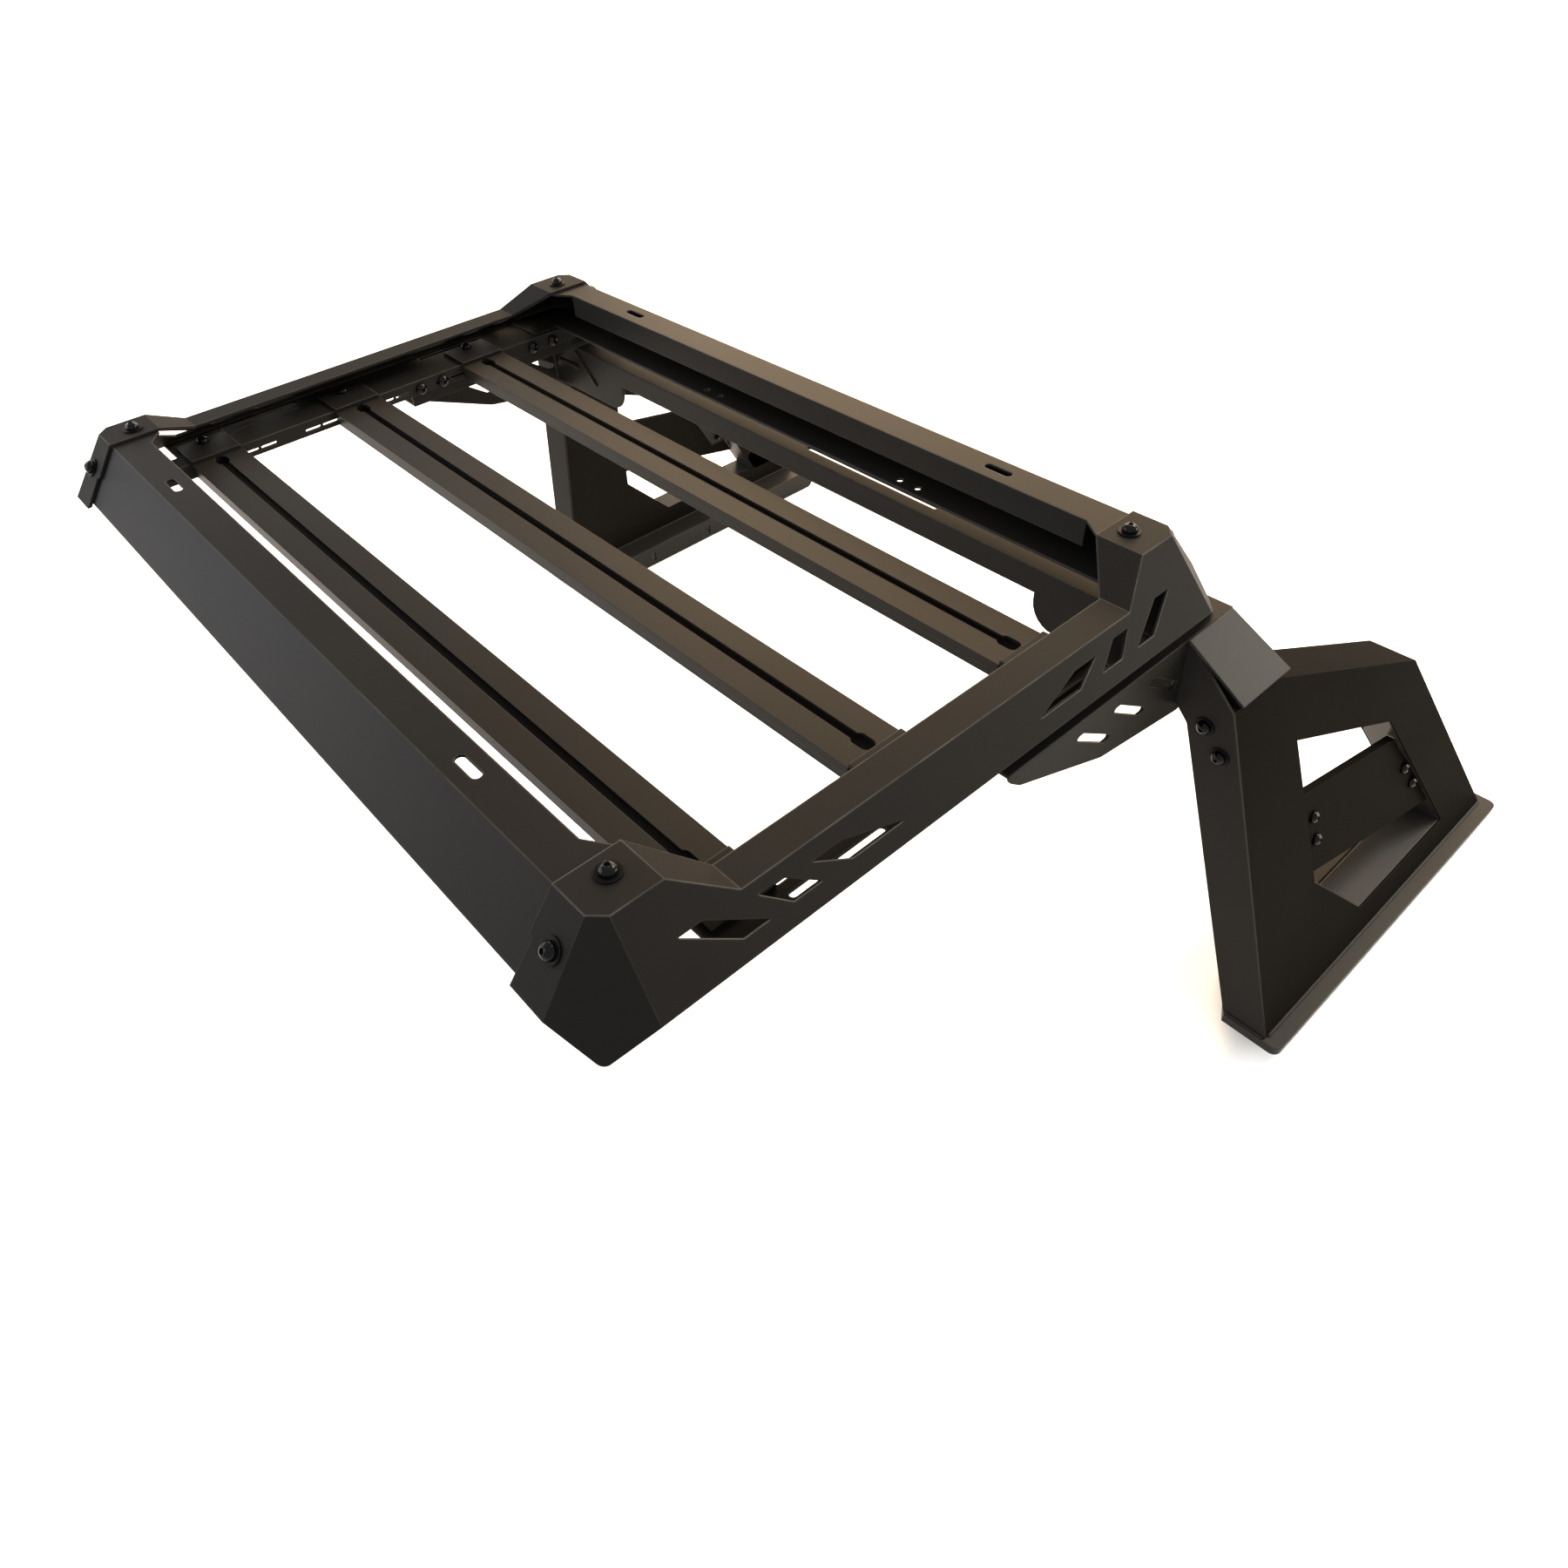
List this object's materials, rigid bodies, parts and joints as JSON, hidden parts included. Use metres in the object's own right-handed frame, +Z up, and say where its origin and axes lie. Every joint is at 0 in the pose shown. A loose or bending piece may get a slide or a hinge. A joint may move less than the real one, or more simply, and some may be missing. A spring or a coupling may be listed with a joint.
{
  "type": "ladder rack",
  "caption": "Over-cab ladder rack for a pickup bed: a sloped-wall bolted tray with T-slot floor bars on two leaning box-section legs with flat rail bases.",
  "frame": {"origin": "mid-width of the rack, midway between its front and rear ends, level with its lowest edge", "axes": "+X to the vehicle's right, +Y to the rear, +Z up"},
  "size_m": [1.752, 1.4948, 0.7356],
  "materials": {
    "sheet": "satin black textured powder coat",
    "bars": "satin black powder coat",
    "hardware": "glossy black coated steel"
  },
  "bodies": {
    "root": {"side_panel_right": "sheet", "side_panel_left": "sheet", "front_panel": "sheet", "rear_panel": "sheet", "floor_bar_front": "bars", "floor_bar_middle": "bars", "floor_bar_rear": "bars", "bar_shoes_front": "sheet", "bar_shoes_middle": "sheet", "bar_shoes_rear": "sheet", "rear_beam": "sheet", "bracket_arm_right": "sheet", "bracket_arm_left": "sheet", "shoulder_cap_right": "sheet", "shoulder_cap_left": "sheet", "shoulder_ribs_right": "sheet", "shoulder_ribs_left": "sheet", "leg_face_right": "sheet", "leg_face_left": "sheet", "leg_shell_right": "sheet", "leg_shell_left": "sheet", "leg_inner_right": "sheet", "leg_inner_left": "sheet", "leg_liner_right": "sheet", "leg_liner_left": "sheet", "light_plate_right": "sheet", "light_plate_left": "sheet", "base_plate_right": "sheet", "base_plate_left": "sheet", "cap_bolts": "hardware", "cap_washers": "hardware", "cap_nuts": "hardware", "tab_bolts": "hardware", "tab_washers": "hardware", "tab_nuts": "hardware", "shoe_bolts": "hardware", "shoe_nuts": "hardware", "arm_bolts": "hardware", "arm_nuts": "hardware", "leg_bolts_set": "hardware", "leg_washers": "hardware", "leg_nuts": "hardware", "light_bolts": "hardware", "light_nuts": "hardware", "base_bolts_set": "hardware"}
  },
  "joints": []
}
